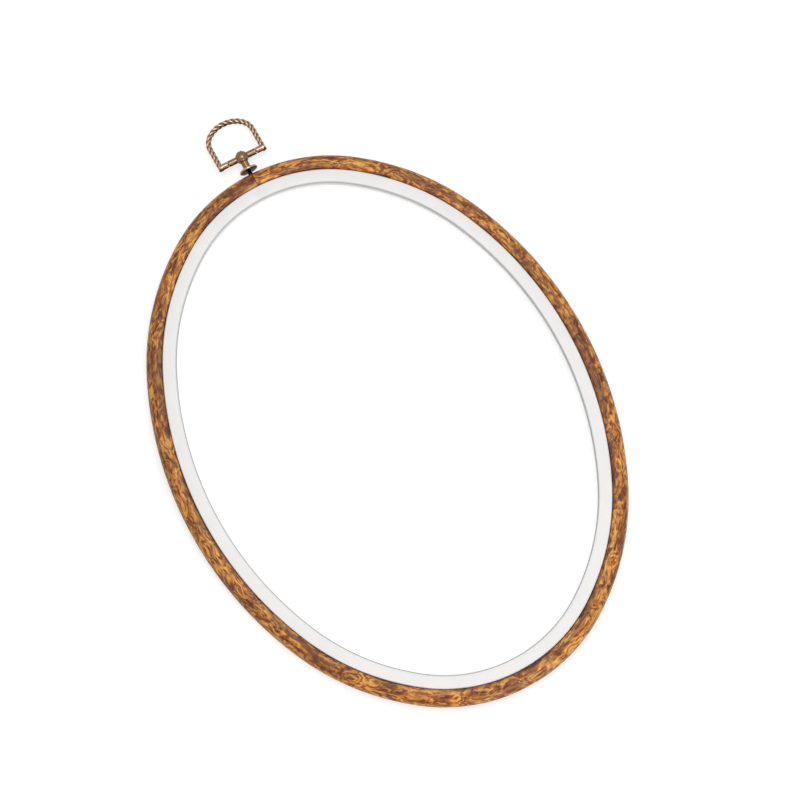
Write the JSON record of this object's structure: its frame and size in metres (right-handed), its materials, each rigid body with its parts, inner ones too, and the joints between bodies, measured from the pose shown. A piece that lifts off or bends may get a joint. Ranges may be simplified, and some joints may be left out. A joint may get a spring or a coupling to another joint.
{
  "type": "embroidery hoop",
  "caption": "Oval embroidery hoop: a flexible wood-look ring grips a rigid ring to stretch fabric, with a rope-twist hanging bail on a swivel at one end.",
  "frame": {"origin": "centre of the oval on the flat back plane that the hoop lies on", "axes": "+Y along the oval's long axis towards the hanger, +X across the oval, +Z out of the front face"},
  "size_m": [0.184, 0.2733, 0.0099],
  "materials": {
    "inner_ring": "satin moulded white plastic",
    "outer_ring": "semi-gloss vinyl printed as burl wood",
    "joiner": "plain turned steel",
    "hanger": "antique bronze plating, dark in the recesses"
  },
  "bodies": {
    "inner_hoop": {"inner_ring": "inner_ring"},
    "outer_hoop": {"outer_ring": "outer_ring", "end_joiner": "joiner", "hanger_stud": "hanger"},
    "swivel": {"swivel_tee": "hanger"},
    "bail": {"bail": "hanger", "bail_pin_left": "hanger", "bail_pin_right": "hanger"}
  },
  "joints": [
    {"name": "hoop_lift", "type": "slide", "parent": "inner_hoop", "child": "outer_hoop", "axis": [0, 0, 1], "range_m": [0, 0.03]},
    {"name": "hanger_swivel", "type": "hinge", "parent": "outer_hoop", "child": "swivel", "pos_m": [0, 0.13125, 0.00545], "axis": [0, 1, 0], "continuous": true},
    {"name": "bail_hinge", "type": "hinge", "parent": "swivel", "child": "bail", "pos_m": [0, 0.13125, 0.00545], "axis": [1, 0, 0], "range_deg": [-96, 123]}
  ]
}
